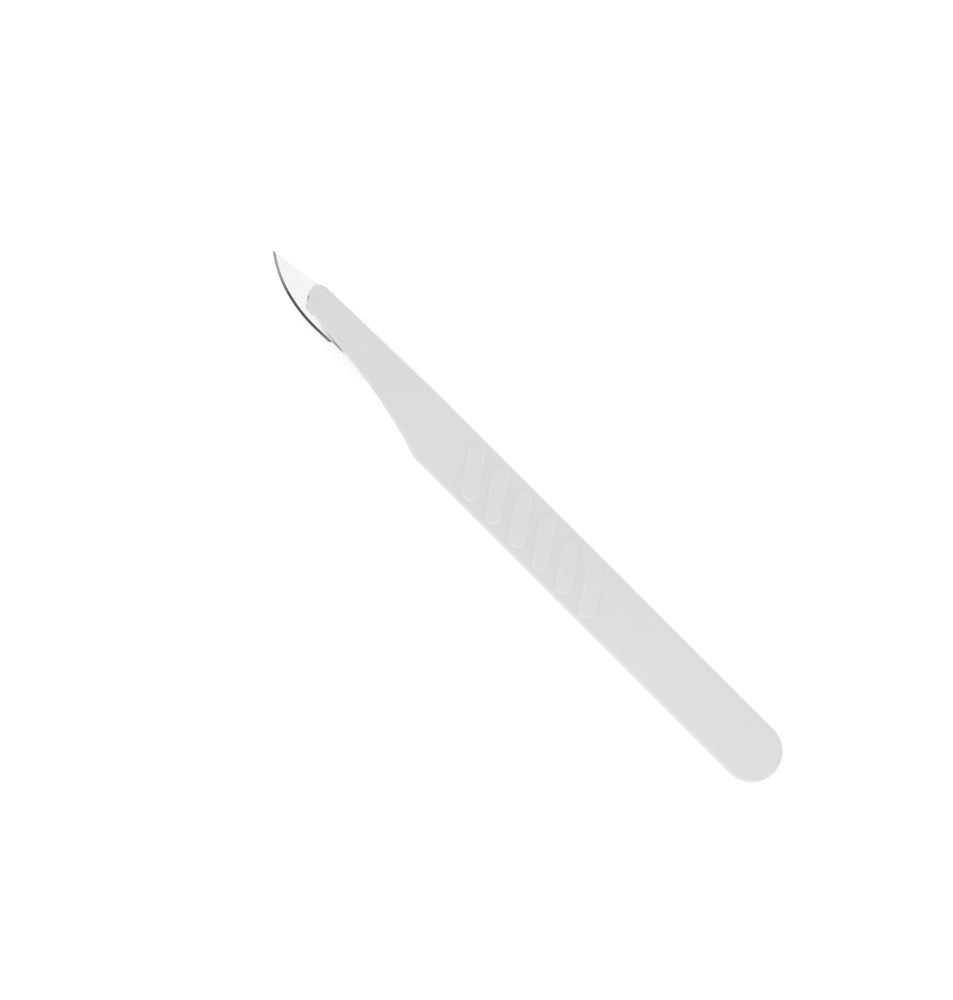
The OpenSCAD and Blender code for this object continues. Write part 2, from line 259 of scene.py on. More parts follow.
def combine(piece, other, operation):
    """Adds the other shell to the piece, or cuts it out, and removes it."""
    step = piece.modifiers.new(operation.title(), "BOOLEAN")
    step.operation = operation
    step.solver = "MANIFOLD"
    step.object = other
    settle(piece)
    bpy.data.objects.remove(other)


def settle(piece):
    """Turns the evaluated piece into its own plain mesh."""
    bpy.context.view_layer.update()
    graph = bpy.context.evaluated_depsgraph_get()
    mesh = bpy.data.meshes.new_from_object(piece.evaluated_get(graph))
    piece.modifiers.clear()
    piece.data = mesh


def shade(piece, degrees):
    """Smooth shading, with every edge above that angle kept sharp."""
    piece.data.shade_smooth()
    piece.data.set_sharp_from_angle(angle=math.radians(degrees))


def finish_piece(piece, node):
    """Puts the piece in the frame: it rides on the body and stands for a solid of the model."""
    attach(piece, BODY)
    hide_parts(node)


def arc(centre, radius, first, last, steps):
    """Points on an arc, by directions in degrees."""
    return [
        (centre[0] + radius * math.cos(math.radians(first + (last - first) * i / steps)),
         centre[1] + radius * math.sin(math.radians(first + (last - first) * i / steps)))
        for i in range(steps + 1)
    ]


def capsule(centre, turn, overall, radius, inset=0):
    """The outline of a strip with round ends, drawn smaller by an inset."""
    reach = overall / 2 - radius
    flat = (arc((reach, 0), radius - inset, -90, 90, CAPSULE_STEPS)
            + arc((-reach, 0), radius - inset, 90, 270, CAPSULE_STEPS))
    at = Matrix.Rotation(turn, 2)
    return [tuple(Vector(centre) + at @ Vector(point)) for point in flat]


def mix(a, b, u):
    """The value at the share u of the way from a to b."""
    return a + (b - a) * u


def smooth(u):
    """A share from 0 to 1 that starts and ends gently."""
    u = min(1, max(0, u))
    return u * u * (3 - 2 * u)


# Plans

def crossing(n1, k1, n2, k2):
    """The point where the lines n1 . p = k1 and n2 . p = k2 cross."""
    d = n1.x * n2.y - n1.y * n2.x
    return Vector(((k1 * n2.y - n1.y * k2) / d, (n1.x * k2 - k1 * n2.x) / d))


class HandlePlan:
    """Outline and thickness of the handle as functions of x."""

    def __init__(self, sizes):
        self.s = sizes
        self.half = sizes.width / 2
        self.shoulder = sizes.overall - sizes.neck
        self.neck_start = self.shoulder + sizes.blend
        self.neck_end = sizes.overall - sizes.nose
        self.taper_start = sizes.overall - sizes.taper_length
        self.neck_end_y = self.back_line(self.neck_end) + sizes.nose_width
        corner = sizes.overall - sizes.back_corner
        self.back_corner = Vector((
            corner, self.back_line(corner) + sizes.back_corner / math.cos(sizes.taper)))
        front = Vector((math.cos(sizes.slant), math.sin(sizes.slant)))
        side = Vector((math.sin(sizes.nose_angle), math.cos(sizes.nose_angle)))
        self.front = front
        self.edge_corner = crossing(
            front, front.dot(self.back_corner) + sizes.back_corner - sizes.edge_corner,
            side, side.dot(Vector((self.neck_end, self.neck_end_y))) - sizes.edge_corner)

    def back_line(self, x):
        """The straight back and its tapered stretch."""
        return -self.half + max(0, x - self.taper_start) * math.tan(self.s.taper)

    def nose_line(self, x):
        """The cutting side of the nose."""
        return self.neck_end_y - (x - self.neck_end) * math.tan(self.s.nose_angle)

    def neck(self, x):
        """A cubic that leaves the shoulder and meets the nose at their angles."""
        span = self.neck_end - self.neck_start
        u = (x - self.neck_start) / span
        start = self.half - self.s.blend * math.tan(self.s.shoulder_angle)
        leave = -math.tan(self.s.shoulder_angle) * span
        meet = -math.tan(self.s.nose_angle) * span
        return mix(start, self.neck_end_y, smooth(u)) + leave * u * (1 - u) ** 2 - meet * u * u * (1 - u)

    def edge(self, x):
        """The cutting side."""
        s = self.s
        if x < self.half:
            return math.sqrt(max(0, self.half ** 2 - (self.half - x) ** 2))
        if x < self.shoulder - s.blend:
            return self.half
        if x < self.neck_start:
            past = x - self.shoulder + s.blend
            return self.half - math.tan(s.shoulder_angle) * past ** 2 / (4 * s.blend)
        if x < self.neck_end:
            return self.neck(x)
        if x < self.edge_corner.x + s.edge_corner * math.sin(s.nose_angle):
            return self.nose_line(x)
        if x < self.edge_corner.x + s.edge_corner * math.cos(s.slant):
            return self.edge_corner.y + math.sqrt(s.edge_corner ** 2 - (x - self.edge_corner.x) ** 2)
        along = x - self.back_corner.x
        if along < s.back_corner * math.cos(s.slant):
            return self.back_corner.y + (s.back_corner - along * math.cos(s.slant)) / math.sin(s.slant)
        return self.back_corner.y + math.sqrt(max(0, s.back_corner ** 2 - along ** 2))

    def back(self, x):
        """The back."""
        if x < self.half:
            return -math.sqrt(max(0, self.half ** 2 - (self.half - x) ** 2))
        if x < self.back_corner.x:
            return self.back_line(x)
        along = x - self.back_corner.x
        return self.back_corner.y - math.sqrt(max(0, self.s.back_corner ** 2 - along ** 2))

    def thinned(self, x):
        """The share of its thinning that the handle has reached."""
        return smooth((x - self.shoulder) / self.s.neck)

    def half_thickness(self, x):
        return mix(self.s.thickness, self.s.nose_thickness, self.thinned(x)) / 2

    def rounding(self, x):
        return mix(self.s.rounding, self.s.nose_rounding, self.thinned(x))

    def sections(self):
        """The x values of the sections, close together where the outline is round."""
        s = self.s
        straight_end = self.shoulder - s.blend
        quarter = [math.pi / 2 * i / END_STEPS for i in range(END_STEPS + 1)]
        found = [self.half * (1 - math.cos(turn)) for turn in quarter]
        found += [mix(self.half, straight_end, i / STRAIGHT_STEPS) for i in range(1, STRAIGHT_STEPS)]
        found += [mix(straight_end, self.neck_start, i / BLEND_STEPS) for i in range(BLEND_STEPS + 1)]
        found += [mix(self.neck_start, self.neck_end, i / NECK_STEPS) for i in range(1, NECK_STEPS + 1)]
        for i in range(BLEND_STEPS + 1):
            turn = mix(s.nose_angle, math.pi / 2 - s.slant, i / BLEND_STEPS)
            found.append(self.edge_corner.x + s.edge_corner * math.sin(turn))
        found += [self.back_corner.x + s.back_corner * math.sin(turn) for turn in quarter]
        found.sort()
        return [x for i, x in enumerate(found) if i == 0 or x - found[i - 1] > 1e-6]


class BladePlan:
    """Outline of the blade."""

    def __init__(self, blade, handle):
        self.s = blade
        self.tang_x = handle.overall - blade.tang_in
        self.spine_y = -handle.width / 2 + blade.spine_in
        self.tang_y = self.spine_y + blade.tang_height
        self.bend = Vector((self.tang_x + blade.spine, self.spine_y))
        self.heel = Vector((self.tang_x + blade.heel, self.spine_y + blade.height))
        rise = Vector((math.cos(blade.slope), math.sin(blade.slope)))
        self.belly = self.heel + blade.straight * rise - blade.belly * Vector((-rise.y, rise.x))
        facing = Vector((math.sin(blade.belly_turn), math.cos(blade.belly_turn)))
        self.tip_centre = self.belly + (blade.belly - blade.tip) * facing
        down = Vector((math.cos(blade.spine_angle), math.sin(blade.spine_angle)))
        to_bend = self.bend - self.tip_centre
        along = down.dot(to_bend)
        self.tip = self.bend + down * (
            math.sqrt(along ** 2 - to_bend.dot(to_bend) + blade.tip ** 2) - along)
        out = self.tip - self.tip_centre
        self.tip_turn = math.atan2(out.x, out.y)
        self.slot_x = self.tang_x + blade.slot_in
        self.slot_y = self.spine_y + blade.tang_height / 2

    def edge(self):
        """Points of the cutting edge from heel to tip, each with the direction in which it faces."""
        s = self.s
        found = [(self.heel, -s.slope)]
        for centre, radius, first, last, steps in (
                (self.belly, s.belly, -s.slope, s.belly_turn, BELLY_STEPS),
                (self.tip_centre, s.tip, s.belly_turn, self.tip_turn, TIP_STEPS)):
            for i in range(0 if centre is self.belly else 1, steps + 1):
                turn = mix(first, last, i / steps)
                found.append((centre + radius * Vector((math.sin(turn), math.cos(turn))), turn))
        return found

    def keyhole(self, gap):
        """The slot's outline, drawn smaller by a gap."""
        wide = self.s.slot_wide / 2 - gap
        narrow = self.s.slot_narrow / 2 - gap
        first = (self.slot_x + self.s.slot_wide / 2, self.slot_y)
        second = (self.slot_x + self.s.slot_wide_part - self.s.slot_wide / 2, self.slot_y)
        front = (self.slot_x + self.s.slot - self.s.slot_narrow / 2, self.slot_y)
        meet = math.degrees(math.asin(narrow / wide))
        return (arc(first, wide, 90, 270, SLOT_END_STEPS)
                + arc(second, wide, 270, 360 - meet, SLOT_SIDE_STEPS)
                + arc(front, narrow, -90, 90, SLOT_END_STEPS)
                + arc(second, wide, meet, 90, SLOT_SIDE_STEPS))


def plans():
    """The plans of the handle and the blade, and the height of the middle plane."""
    scene = bpy.context.scene
    middle = scene.scalpel_ribs.height + scene.scalpel_handle.thickness / 2
    return (HandlePlan(scene.scalpel_handle),
            BladePlan(scene.scalpel_blade, scene.scalpel_handle), middle)


# Node trees

def add(tree, kind, inputs=None, **settings):
    """A node with its settings and inputs. A socket as an input is linked, and another value is set."""
    made = tree.nodes.new(kind)
    for key, value in settings.items():
        setattr(made, key, value)
    for key, value in (inputs or {}).items():
        if isinstance(value, bpy.types.NodeSocket):
            tree.links.new(value, made.inputs[key])
        else:
            made.inputs[key].default_value = value
    return made


def maths(tree, operation, *values):
    """The result of a sum on sockets and numbers."""
    return add(tree, "ShaderNodeMath", dict(enumerate(values)), operation=operation).outputs[0]


def material(name, metallic=0.0):
    """An empty material with its shader and the object's coordinates."""
    made = bpy.data.materials.new(name)
    made.use_nodes = True
    tree = made.node_tree
    tree.nodes.clear()
    shader = add(tree, "ShaderNodeBsdfPrincipled", {"Metallic": metallic})
    add(tree, "ShaderNodeOutputMaterial", {"Surface": shader.outputs[0]})
    place = add(tree, "ShaderNodeTexCoord").outputs["Object"]
    return made, tree, shader, place


def noise(tree, place, scale, detail=3.0, stretch=None):
    """Noise of a given grain per metre, which may be stretched along an axis."""
    if stretch:
        place = add(tree, "ShaderNodeMapping", {"Vector": place, "Scale": stretch}).outputs[0]
    return add(tree, "ShaderNodeTexNoise", {
        "Vector": place, "Scale": scale, "Detail": detail}).outputs["Fac"]


def spread(tree, value, low, high, low_in=0.3, high_in=0.7):
    """The value, taken from its usual range to another one."""
    return add(tree, "ShaderNodeMapRange", {
        "Value": value, "From Min": low_in, "From Max": high_in, "To Min": low, "To Max": high}).outputs[0]


def shades(tree, value, dark, light):
    """A colour between two shades."""
    made = add(tree, "ShaderNodeMix", {"Factor": value}, data_type="RGBA")
    made.inputs[6].default_value = (*dark, 1)
    made.inputs[7].default_value = (*light, 1)
    return made.outputs[2]


def relief(tree, shader, height, strong, depth):
    """Gives the surface a fine relief of a given depth."""
    bump = add(tree, "ShaderNodeBump", {"Height": height, "Strength": strong, "Distance": depth})
    tree.links.new(bump.outputs[0], shader.inputs["Normal"])


def seen_directly(tree):
    """1 on a camera, glossy or transmission ray, and 0 on the rays that only carry light."""
    ray = add(tree, "ShaderNodeLightPath").outputs
    seen = maths(tree, "MAXIMUM", ray["Is Camera Ray"], ray["Is Glossy Ray"])
    return maths(tree, "MAXIMUM", seen, ray["Is Transmission Ray"])


def satin_plastic():
    """Pale moulded plastic with a fine satin skin."""
    finish = bpy.context.scene.scalpel_finishes
    made, tree, shader, place = material("satin_plastic")
    cloud_scale, patch_scale, grain_scale = 60, 900, 9000
    darker, lighter, rough_spread = 0.985, 1.01, 0.05
    base = finish.plastic
    clouds = spread(tree, noise(tree, place, cloud_scale, 4), 0, 1)
    tint = shades(tree, clouds, [c * darker for c in base], [c * lighter for c in base])
    tree.links.new(tint, shader.inputs["Base Color"])
    rough = finish.plastic_roughness
    grain = noise(tree, place, grain_scale, 2)
    patches = noise(tree, place, patch_scale, 3)
    tree.links.new(spread(tree, patches, rough - rough_spread, rough + rough_spread),
                   shader.inputs["Roughness"])
    relief(tree, shader, grain, 0.25, 0.01 * MM)
    return made


def satin_steel(handle_plan):
    """Bright satin steel with fine lines along the blade, with painted shade in the corner beside the nose.
    """
    finish = bpy.context.scene.scalpel_finishes
    made, tree, shader, place = material("satin_steel", 1.0)
    base = finish.steel
    darker, lighter, rough_spread = 0.97, 1.03, 0.06
    lines = noise(tree, place, 1, 4, (900, 16000, 900))
    satin = shades(tree, spread(tree, lines, 0, 1), [c * darker for c in base], [c * lighter for c in base])
    at = add(tree, "ShaderNodeSeparateXYZ", {"Vector": place}).outputs
    # Painted shade: the steel darkens in the corner beside the nose, fading along the blade and away from
    # the nose's edge.
    shade_length, shade_full, shade_end = 5.5 * MM, 0.3 * MM, 0.9 * MM
    corner = REAR_X + handle_plan.neck_end
    rise = math.tan(handle_plan.s.nose_angle)
    along = spread(tree, at["X"], 1, 0, corner - shade_length, corner)
    nose_y = maths(tree, "MULTIPLY_ADD", at["X"], -rise, handle_plan.neck_end_y + corner * rise)
    near = spread(tree, maths(tree, "SUBTRACT", at["Y"], nose_y), 1, 0, shade_full, shade_end)
    corner_shade_mask = maths(tree, "MULTIPLY", along, near)
    mixed = add(tree, "ShaderNodeMix", {"Factor": corner_shade_mask, 6: satin}, data_type="RGBA")
    mixed.inputs[7].default_value = (*[c * finish.painted_corner_shade for c in base], 1)
    tree.links.new(mixed.outputs[2], shader.inputs["Base Color"])
    rough = finish.steel_roughness
    tree.links.new(spread(tree, lines, rough - rough_spread, rough + rough_spread),
                   shader.inputs["Roughness"])
    relief(tree, shader, lines, 0.2, 0.004 * MM)
    return made


def ground_steel(name, dark, light, *fades):
    """Ground steel with fine lines across the edge. It is dark, and light where a fade says so: the colours
    paint the bevel's dark reflection and the shade on the tang's eased edge.

    A fade runs along the blade: the share of the light colour at its start and end, and where they are.
    """
    made, tree, shader, place = material(name, 1.0)
    along = add(tree, "ShaderNodeSeparateXYZ", {"Vector": place}).outputs["X"]
    first, *others = [spread(tree, along, *fade) for fade in fades]
    for other in others:
        first = maths(tree, "MAXIMUM", first, other)
    tree.links.new(shades(tree, first, dark, light), shader.inputs["Base Color"])
    lines = noise(tree, place, 1, 3, (12000, 2500, 2500))
    smoothest, roughest = 0.32, 0.48
    tree.links.new(spread(tree, lines, smoothest, roughest), shader.inputs["Roughness"])
    relief(tree, shader, lines, 0.3, 0.004 * MM)
    return made


def bevel_steel(blade_plan):
    """The ground bevel, a rougher ground finish with painted dark reflection that is lighter at the heel
    and towards the tip.
    """
    finish = bpy.context.scene.scalpel_finishes
    heel = blade_plan.heel.x + REAR_X
    tip = blade_plan.tip.x + REAR_X
    return ground_steel("bevel_steel", finish.ground_and_reflection, finish.ground_and_reflection_tip,
                        (0, 1, tip - 9.2 * MM, tip - 4 * MM), (0.5, 0, heel, heel + 4.5 * MM))


def eased_steel(blade_plan):
    """The eased edge of the tang, with painted shade beside the heel where it leaves the handle."""
    finish = bpy.context.scene.scalpel_finishes
    heel = blade_plan.heel.x + REAR_X
    return ground_steel("eased_steel", finish.eased_edge_shade, finish.steel,
                        (0.8, 0, heel - 4.2 * MM, heel - 3 * MM))


def shared_plastic():
    """The handle's material, made once."""
    return bpy.data.materials.get("satin_plastic") or satin_plastic()


def rib_tree():
    """Geometry nodes that make the ribs of both faces from their sizes."""
    tree = bpy.data.node_groups.new("grip_rib_rows", "GeometryNodeTree")
    for name, kind in (("Count", "Int"), ("Pitch", "Float"), ("Reach", "Float"), ("Radius", "Float"),
                       ("Inset", "Float"), ("Height", "Float"), ("Sink", "Float"), ("Turn", "Vector"),
                       ("First", "Vector"), ("Middle", "Float"), ("Finish", "Material")):
        tree.interface.new_socket(name, in_out="INPUT", socket_type=f"NodeSocket{kind}")
    tree.interface.new_socket("Ribs", in_out="OUTPUT", socket_type="NodeSocketGeometry")
    given = add(tree, "NodeGroupInput").outputs

    def of(operation, *values):
        return maths(tree, operation, *values)

    block = add(tree, "GeometryNodeMeshCylinder", {
        "Vertices": RIB_VERTICES, "Side Segments": RIB_LEVELS, "Radius": 1.0, "Depth": 1.0},
        fill_type="NGON")
    at = add(tree, "ShaderNodeSeparateXYZ", {
        "Vector": add(tree, "GeometryNodeInputPosition").outputs[0]}).outputs
    first_level = -0.5 + 1 / RIB_LEVELS
    climb = add(tree, "ShaderNodeMapRange", {
        "Value": at["Z"], "From Min": first_level, "From Max": 0.5}).outputs[0]
    raised = add(tree, "ShaderNodeMapRange", {
        "Value": climb, "To Max": given["Height"]}, interpolation_type="SMOOTHSTEP").outputs[0]
    sunk = of("MULTIPLY", of("LESS_THAN", at["Z"], -0.5 + 0.5 / RIB_LEVELS), given["Sink"])
    radius = of("SUBTRACT", given["Radius"], of("MULTIPLY", climb, given["Inset"]))
    side = of("MULTIPLY", of("SIGN", at["X"]), given["Reach"])
    shaped = add(tree, "ShaderNodeCombineXYZ", {
        "X": of("ADD", of("MULTIPLY", at["X"], radius), side),
        "Y": of("MULTIPLY", at["Y"], radius),
        "Z": of("SUBTRACT", raised, sunk)})
    rib = add(tree, "GeometryNodeSetPosition", {
        "Geometry": block.outputs["Mesh"], "Position": shaped.outputs[0]})
    step = add(tree, "ShaderNodeCombineXYZ", {"X": of("MULTIPLY", given["Pitch"], -1.0)})
    row = add(tree, "GeometryNodeMeshLine", {
        "Count": given["Count"], "Start Location": given["First"], "Offset": step.outputs[0]})
    placed = add(tree, "GeometryNodeInstanceOnPoints", {
        "Points": row.outputs[0], "Instance": rib.outputs[0], "Rotation": given["Turn"]})
    near = add(tree, "GeometryNodeRealizeInstances", {"Geometry": placed.outputs[0]})
    across = add(tree, "ShaderNodeCombineXYZ", {"Z": of("MULTIPLY", given["Middle"], 2.0)})
    turned = add(tree, "GeometryNodeTransform", {
        "Geometry": near.outputs[0], "Translation": across.outputs[0], "Scale": (1, 1, -1)})
    far = add(tree, "GeometryNodeFlipFaces", {"Mesh": turned.outputs[0]})
    both = add(tree, "GeometryNodeJoinGeometry")
    for part in (far, near):
        tree.links.new(part.outputs[0], both.inputs[0])
    smoothed = add(tree, "GeometryNodeSetShadeSmooth", {"Geometry": both.outputs[0]})
    real = add(tree, "GeometryNodeRealizeInstances", {"Geometry": smoothed.outputs[0]})
    coated = add(tree, "GeometryNodeSetMaterial", {
        "Geometry": real.outputs[0], "Material": given["Finish"]})
    add(tree, "NodeGroupOutput", {0: coated.outputs[0]})
    return tree


def run_tree(piece, tree, values):
    """Gives the piece the tree with its named inputs, and keeps the result as a plain mesh."""
    step = piece.modifiers.new("Rows", "NODES")
    step.node_group = tree
    for socket in tree.interface.items_tree:
        if socket.in_out == "INPUT":
            step[socket.identifier] = values[socket.name]
    settle(piece)


# Operators

class MakeHandle(bpy.types.Operator):
    """Make the moulded handle with the recess, boss and head that hold the blade"""

    bl_idname = "scalpel.make_handle"
    bl_label = "Make handle"

    def execute(self, context):
        handle, blade, middle = plans()
        sizes = context.scene.scalpel_handle
        piece = self.body(handle, middle)
        half_blade = blade.s.thickness / 2
        combine(piece, self.recess(handle, blade, middle + half_blade), "DIFFERENCE")
        combine(piece, self.slit(handle, middle + half_blade), "DIFFERENCE")
        boss = prism("boss", blade.keyhole(sizes.gap),
                     middle - half_blade - OVERLAP / 2, middle + half_blade + OVERLAP)
        combine(piece, boss, "UNION")
        head_length = blade.s.slot - 2 * sizes.gap - (blade.s.slot_wide - sizes.head_width)
        head = self.pad("head", (blade.slot_x + blade.s.slot / 2, blade.slot_y), head_length,
                        sizes.head_width / 2, middle - half_blade, -sizes.head_height, sizes.head_rim)
        combine(piece, head, "UNION")
        combine(piece, self.lip(handle, middle + half_blade), "UNION")
        shade(piece, 30)
        piece.data.materials.clear()
        piece.data.materials.append(shared_plastic())
        finish_piece(piece, "handle")
        return {"FINISHED"}

    def body(self, plan, middle):
        """The slab with its rounded edges, through rings from the far face to the near one."""
        xs = plan.sections()
        outline = [(x, plan.edge(x)) for x in xs] + [(x, plan.back(x)) for x in xs[-2:0:-1]]
        count, last = len(outline), len(xs) - 1

        def skin(i, side, turn):
            x, y = outline[i]
            before, after = outline[i - 1], outline[(i + 1) % count]
            along = Vector((after[0] - before[0], after[1] - before[1])).normalized()
            radius = plan.rounding(x)
            inset = radius * (1 - math.cos(turn))
            z = side * (plan.half_thickness(x) - radius + radius * math.sin(turn))
            return x + along.y * inset + REAR_X, y - along.x * inset, middle + z

        turns = [math.pi / 2 * j / ROUNDING_STEPS for j in range(ROUNDING_STEPS + 1)]
        rings = [[skin(i, -1, turn) for i in range(count)] for turn in reversed(turns)]
        rings += [[skin(i, 1, turn) for i in range(count)] for turn in turns]
        cap = [(0, 1, count - 1)]
        cap += [(i, i + 1, count - i - 1, count - i) for i in range(1, last - 1)]
        cap += [(last - 1, last, last + 1)]
        return stack("scalpel_handle", rings, cap, cap)

    def recess(self, handle, blade, top):
        """What the tang takes up in the far face, open at the front and along the cutting edge."""
        gap = handle.s.gap
        far = handle.s.width
        rear = blade.tang_x - gap
        end = handle.s.overall + MM
        tang = blade.tang_y + gap
        wall_end = max(x for x in handle.sections() if handle.edge(x) > tang + handle.s.wall)
        outline = [(rear, blade.spine_y - gap), (handle.back_corner.x, blade.spine_y - gap),
                   (handle.back_corner.x, -far), (end, -far), (end, far), (wall_end, far),
                   (wall_end, tang), (rear + blade.s.tang_slant, tang)]
        return prism("recess", outline, -MM, top)

    def pad(self, name, centre, overall, radius, foot, rise, rim):
        """A strip with round ends and a rounded rim, which rises from its foot or hangs from it."""
        levels = [(0, foot)]
        start = rise - math.copysign(min(abs(rise), rim), rise)
        for k in range(RIM_STEPS + 1):
            turn_up = math.pi / 2 * k / RIM_STEPS
            level = mix(start, rise, math.sin(turn_up))
            if abs(level) > 1e-7:
                levels.append((rim * (1 - math.cos(turn_up)), foot + level))
        rings = [[(x + REAR_X, y, z) for x, y in capsule(centre, 0, overall, radius, inset)]
                 for inset, z in levels]
        whole = [tuple(range(len(rings[0])))]
        return stack(name, rings, whole, whole)

    def lip(self, plan, foot):
        """The thin lip that lies on the blade outside the front corner of the nose."""
        s = plan.s
        front = s.overall - s.lip_from_front
        centre = (front - s.lip_length / 2, plan.nose_line(front) + s.lip_out - s.lip_radius)
        return self.pad("lip", centre, s.lip_length + 2 * s.lip_radius, s.lip_radius,
                        foot, s.lip_thickness, s.lip_rim)

    def slit(self, plan, foot):
        """What the narrow slit along the slanted front takes out of the nose, down to the blade."""
        s = plan.s
        along = Vector((-plan.front.y, plan.front.x))
        start = plan.back_corner + (s.back_corner - s.slit_in) * plan.front
        centre = start + (s.slit_start + s.slit / 2) * along
        outline = capsule(centre, math.pi / 2 + s.slant, s.slit, s.slit_width / 2)
        return prism("slit", outline, foot, foot + s.thickness)


class MakeRibs(bpy.types.Operator):
    """Make the slanted grip ribs on both faces of the handle"""

    bl_idname = "scalpel.make_ribs"
    bl_label = "Make grip ribs"

    def execute(self, context):
        handle, _, middle = plans()
        sizes = context.scene.scalpel_ribs
        piece = shell("grip_ribs", [], [])
        face = middle + handle.s.thickness / 2
        run_tree(piece, rib_tree(), {
            "Count": sizes.count,
            "Pitch": sizes.pitch,
            "Reach": (sizes.overall - sizes.width) / 2,
            "Radius": sizes.width / 2 + sizes.foot,
            "Inset": sizes.rim + sizes.foot,
            "Height": sizes.height,
            "Sink": OVERLAP,
            "Turn": (0, 0, -sizes.tilt),
            "First": (REAR_X + handle.shoulder - sizes.setback, -sizes.offset, face),
            "Middle": middle,
            "Finish": shared_plastic(),
        })
        finish_piece(piece, "handle")
        return {"FINISHED"}


class MakeBlade(bpy.types.Operator):
    """Make the steel blade with its slot and its two ground bevels"""

    bl_idname = "scalpel.make_blade"
    bl_label = "Make blade"

    def execute(self, context):
        handle, plan, middle = plans()
        s = plan.s
        half = s.thickness / 2
        outline = [(plan.tang_x, plan.spine_y), tuple(plan.bend)]
        outline += [tuple(point) for point, _ in reversed(plan.edge())]
        outline += [(plan.heel.x - s.heel_step, plan.tang_y), (plan.tang_x + s.tang_slant, plan.tang_y)]
        piece = prism("scalpel_blade", outline, middle - half, middle + half)
        slot = prism("slot", plan.keyhole(0), middle - MM, middle + MM)
        combine(piece, slot, "DIFFERENCE")
        slope = (s.thickness - s.land) / 2 / s.bevel
        for side in (1, -1):
            for path, width in ((self.edge_path(plan), s.bevel), (self.tang_path(plan), s.ease)):
                combine(piece, self.grinding(path, width, slope, middle, side), "DIFFERENCE")
        piece.data.materials.clear()
        for made in (satin_steel(handle), bevel_steel(plan), eased_steel(plan)):
            piece.data.materials.append(made)
        for face in piece.data.polygons:
            if abs(abs(face.normal.z) - math.cos(math.atan(slope))) < 0.01:
                on_edge = face.center.x > REAR_X + plan.heel.x - s.heel_step
                face.material_index = 1 if on_edge else 2
        shade(piece, 8)
        finish_piece(piece, "blade")
        return {"FINISHED"}

    def edge_path(self, plan):
        """Where the bevel runs: the cutting edge, past both of its ends."""
        points = plan.edge()
        beyond = 1.5 * MM
        lead = Vector((math.cos(plan.s.slope), math.sin(plan.s.slope)))
        trail = Vector((math.cos(plan.tip_turn), -math.sin(plan.tip_turn)))
        first = (plan.heel - plan.s.heel_step * lead, -plan.s.slope)
        return [first, *points, (points[-1][0] + beyond * trail, plan.tip_turn)]

    def tang_path(self, plan):
        """Where the eased edge of the tang runs."""
        ends = (plan.tang_x, plan.heel.x - plan.s.heel_step)
        return [(Vector((x, plan.tang_y)), 0) for x in ends]

    def grinding(self, path, width, slope, middle, side):
        """What grinding to a width takes off one face along a path."""
        half = bpy.context.scene.scalpel_blade.thickness / 2
        out, into = 1.5 * MM, 0.8 * MM
        section = [(-out, -out * slope), (width + into, (width + into) * slope),
                   (width + into, out), (-out, out)]
        foot = half - width * slope
        rings = []
        for point, turn in path:
            away = Vector((math.sin(turn), math.cos(turn)))
            rings.append([
                (point.x - inset * away.x + REAR_X, point.y - inset * away.y, middle + side * (foot + z))
                for inset, z in section
            ])
        return stack("grinding", rings, [(0, 1, 2, 3)], [(0, 1, 2, 3)])


# Each lamp: its name, its place and aim from the point that the camera looks at, and its power in watts
LAMPS = (
    ("overhead", (-0.08, 0.02, 0.22), (-0.08, 0, 0), 0.03),
    ("key", (-0.12, 0.2, 0.22), (-0.05, 0, 0), 0.09),
)


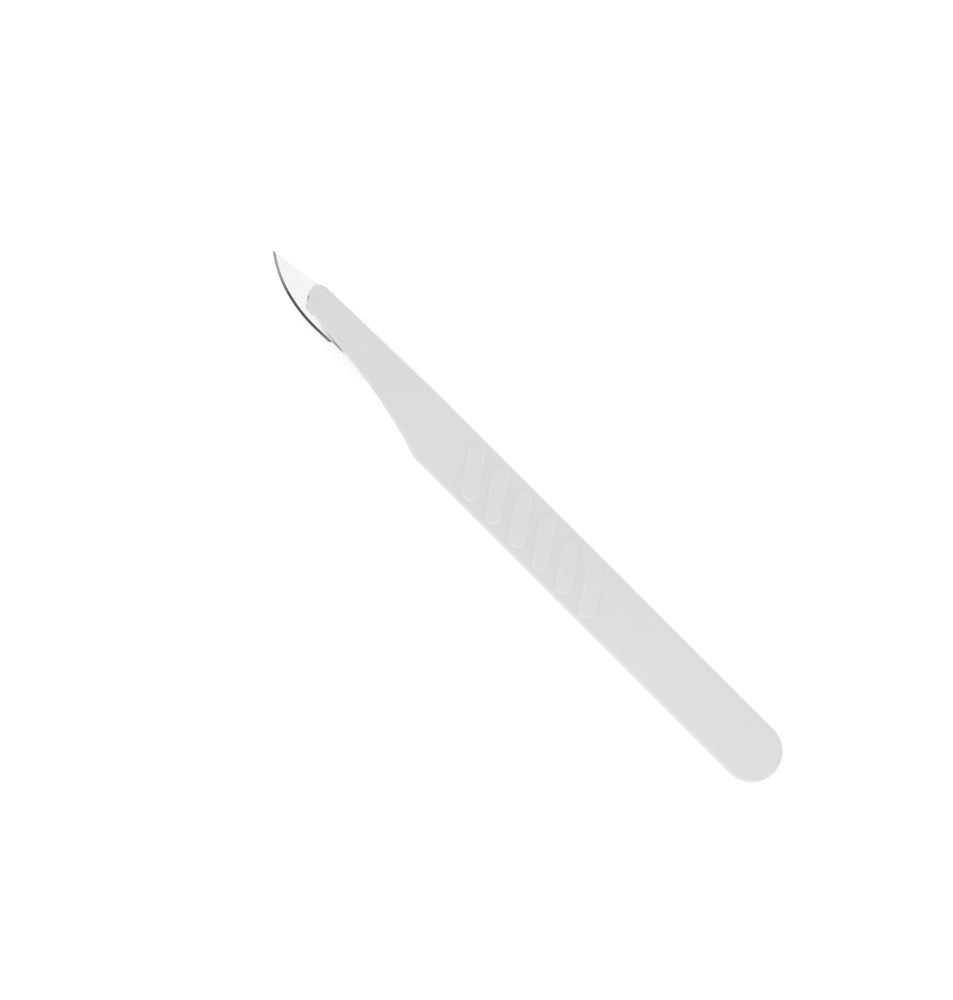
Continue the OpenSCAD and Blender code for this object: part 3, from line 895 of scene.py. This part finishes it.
class SetStage(bpy.types.Operator):
    """Set the white floor, the soft light and the camera that looks straight down"""

    bl_idname = "scalpel.set_stage"
    bl_label = "Set stage"

    def execute(self, context):
        stage = context.scene.scalpel_stage
        self.floor(stage)
        self.world(context.scene, stage)
        middle = plans()[2]
        aim = Vector((REAR_X + stage.aim_x, stage.aim_y, middle))
        for name, place, towards, power in LAMPS:
            self.lamp(name, aim + Vector(place), aim + Vector(towards), stage.lamp_size, power)
        self.camera(context.scene, stage, aim)
        return {"FINISHED"}

    def floor(self, stage):
        """The white floor, which keeps the scalpel's shadow."""
        finish = bpy.context.scene.scalpel_finishes
        side = 4.0
        corners = [(-side, -side, 0), (side, -side, 0), (side, side, 0), (-side, side, 0)]
        mesh = bpy.data.meshes.new("floor")
        mesh.from_pydata(corners, [], [(0, 1, 2, 3)])
        piece = bpy.data.objects.new("floor", mesh)
        bpy.context.scene.collection.objects.link(piece)
        made, tree, shader, _ = material("floor_white")
        shader.inputs["Base Color"].default_value = (*finish.floor, 1)
        shader.inputs["Roughness"].default_value = 0.9
        shader.inputs["Specular IOR Level"].default_value = 0.0
        shader.inputs["Emission Color"].default_value = (1, 1, 1, 1)
        glow = maths(tree, "MULTIPLY", seen_directly(tree), stage.floor_glow)
        tree.links.new(glow, shader.inputs["Emission Strength"])
        piece.data.materials.append(made)

    def world(self, scene, stage):
        """A white room that lights from its horizon more than from above."""
        world = bpy.data.worlds.new("pale_room")
        scene.world = world
        world.use_nodes = True
        tree = world.node_tree
        tree.nodes.clear()
        direction = add(tree, "ShaderNodeTexCoord").outputs["Generated"]
        height = add(tree, "ShaderNodeSeparateXYZ", {"Vector": direction}).outputs["Z"]
        glow = add(tree, "ShaderNodeMapRange", {
            "Value": height, "To Min": stage.horizon, "To Max": stage.zenith})
        chosen = add(tree, "ShaderNodeMix", {
            0: seen_directly(tree), 2: glow.outputs[0], 3: 1.0}, data_type="FLOAT")
        back = add(tree, "ShaderNodeBackground", {"Color": (1, 1, 1, 1), "Strength": chosen.outputs[0]})
        add(tree, "ShaderNodeOutputWorld", {"Surface": back.outputs[0]})

    def lamp(self, name, place, aim, size, power):
        """A soft square lamp that faces the scalpel."""
        light = bpy.data.lights.new(name, "AREA")
        light.size = size
        light.energy = power
        piece = bpy.data.objects.new(name, light)
        bpy.context.scene.collection.objects.link(piece)
        piece.location = place
        piece.rotation_euler = (aim - place).to_track_quat("-Z", "Y").to_euler()

    def camera(self, scene, stage, aim):
        """The camera, which looks straight down and takes in the given height at the blade."""
        lens = bpy.data.cameras.new("camera")
        lens.lens = stage.lens
        lens.sensor_width = 36
        lens.clip_start = 0.01
        piece = bpy.data.objects.new("camera", lens)
        scene.collection.objects.link(piece)
        piece.location = aim + Vector((0, 0, stage.view_height * stage.lens / lens.sensor_width))
        piece.rotation_euler = (0, 0, stage.turn)
        scene.camera = piece
        scene.view_settings.view_transform = "Standard"


class ScalpelPanel(bpy.types.Panel):
    """Lists the steps that make the scalpel"""

    bl_idname = "VIEW3D_PT_scalpel"
    bl_label = "Disposable scalpel"
    bl_space_type = "VIEW_3D"
    bl_region_type = "UI"
    bl_category = "Scalpel"

    def draw(self, context):
        for step in STEPS:
            self.layout.operator(step.bl_idname)


STEPS = (MakeHandle, MakeRibs, MakeBlade, SetStage)
GROUPS = {
    "scalpel_handle": HandleSizes,
    "scalpel_ribs": RibSizes,
    "scalpel_blade": BladeSizes,
    "scalpel_finishes": Finishes,
    "scalpel_stage": StageSizes,
}


def register():
    for name, group in GROUPS.items():
        bpy.utils.register_class(group)
        setattr(bpy.types.Scene, name, bpy.props.PointerProperty(type=group))
    for made in (*STEPS, ScalpelPanel):
        bpy.utils.register_class(made)


def unregister():
    for made in (ScalpelPanel, *reversed(STEPS)):
        bpy.utils.unregister_class(made)
    for name, group in GROUPS.items():
        delattr(bpy.types.Scene, name)
        bpy.utils.unregister_class(group)


def main():
    register()
    bpy.ops.scalpel.make_handle()
    bpy.ops.scalpel.make_ribs()
    bpy.ops.scalpel.make_blade()
    bpy.ops.scalpel.set_stage()


if __name__ == "__main__":
    main()
